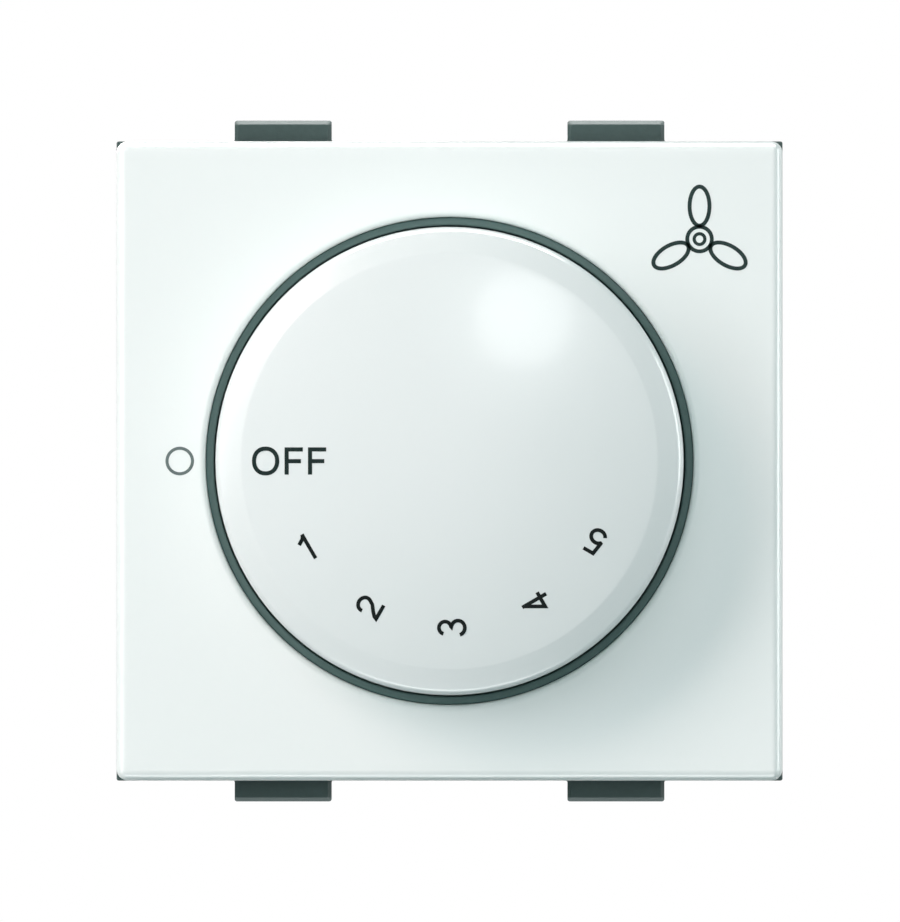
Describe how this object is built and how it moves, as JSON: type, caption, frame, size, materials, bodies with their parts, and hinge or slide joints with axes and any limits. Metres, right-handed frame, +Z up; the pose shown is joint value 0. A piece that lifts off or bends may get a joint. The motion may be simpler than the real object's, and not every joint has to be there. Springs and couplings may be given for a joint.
{
  "type": "fan speed control switch",
  "caption": "Two-module snap-in step fan speed switch: white square cover plate, round dial knob marked OFF and 1 to 5, dark carrier with snap latches, rear housing with wire terminals.",
  "frame": {"origin": "on the knob's axis, in the plane of the carrier's rear seat, where the insert rests on its support frame", "axes": "+Z up, +X to the right as seen from the front, front faces -Y, +Y into the wall"},
  "size_m": [0.045, 0.0453, 0.046],
  "materials": {
    "white_plastic": "smooth gloss moulding",
    "dark_plastic": "fine satin moulding",
    "housing_plastic": "fine matt moulding",
    "black_moulding": "matt moulding",
    "natural_nylon": "satin moulding",
    "laminate": "paper laminate",
    "board_green": "coated glass laminate",
    "film_box": "moulded box with a resin fill",
    "resistor_coat": "dipped coat",
    "contact_brass": "stamped",
    "plated_brass": "nickel plated",
    "plated_steel": "zinc plated",
    "spring_steel": "bright spring steel"
  },
  "bodies": {
    "insert": {"carrier_frame": "dark_plastic", "cover_plate": "white_plastic", "switch_bushing": "plated_brass", "lock_washer": "spring_steel", "bushing_nut": "plated_brass", "switch_can": "black_moulding", "switch_back": "laminate", "fixed_contacts": "contact_brass", "common_track": "contact_brass", "detent_spring": "spring_steel", "circuit_board": "board_green", "capacitor_upper": "film_box", "capacitor_lower": "film_box", "bleed_resistor": "resistor_coat", "surge_resistor": "resistor_coat", "terminal_block": "black_moulding", "terminal_clamp_line": "contact_brass", "terminal_clamp_load": "contact_brass", "terminal_screw_line": "plated_steel", "terminal_screw_load": "plated_steel", "rear_housing": "housing_plastic"},
    "dial": {"knob": "white_plastic", "knob_spring_clip": "spring_steel", "switch_shaft": "plated_steel", "rotor": "natural_nylon", "wiper": "contact_brass"}
  },
  "joints": [
    {"name": "knob_turn", "type": "hinge", "parent": "insert", "child": "dial", "pos_m": [0, 0, 0], "axis": [0, 1, 0], "range_deg": [0, 150], "deforming": ["detent_spring"]}
  ]
}
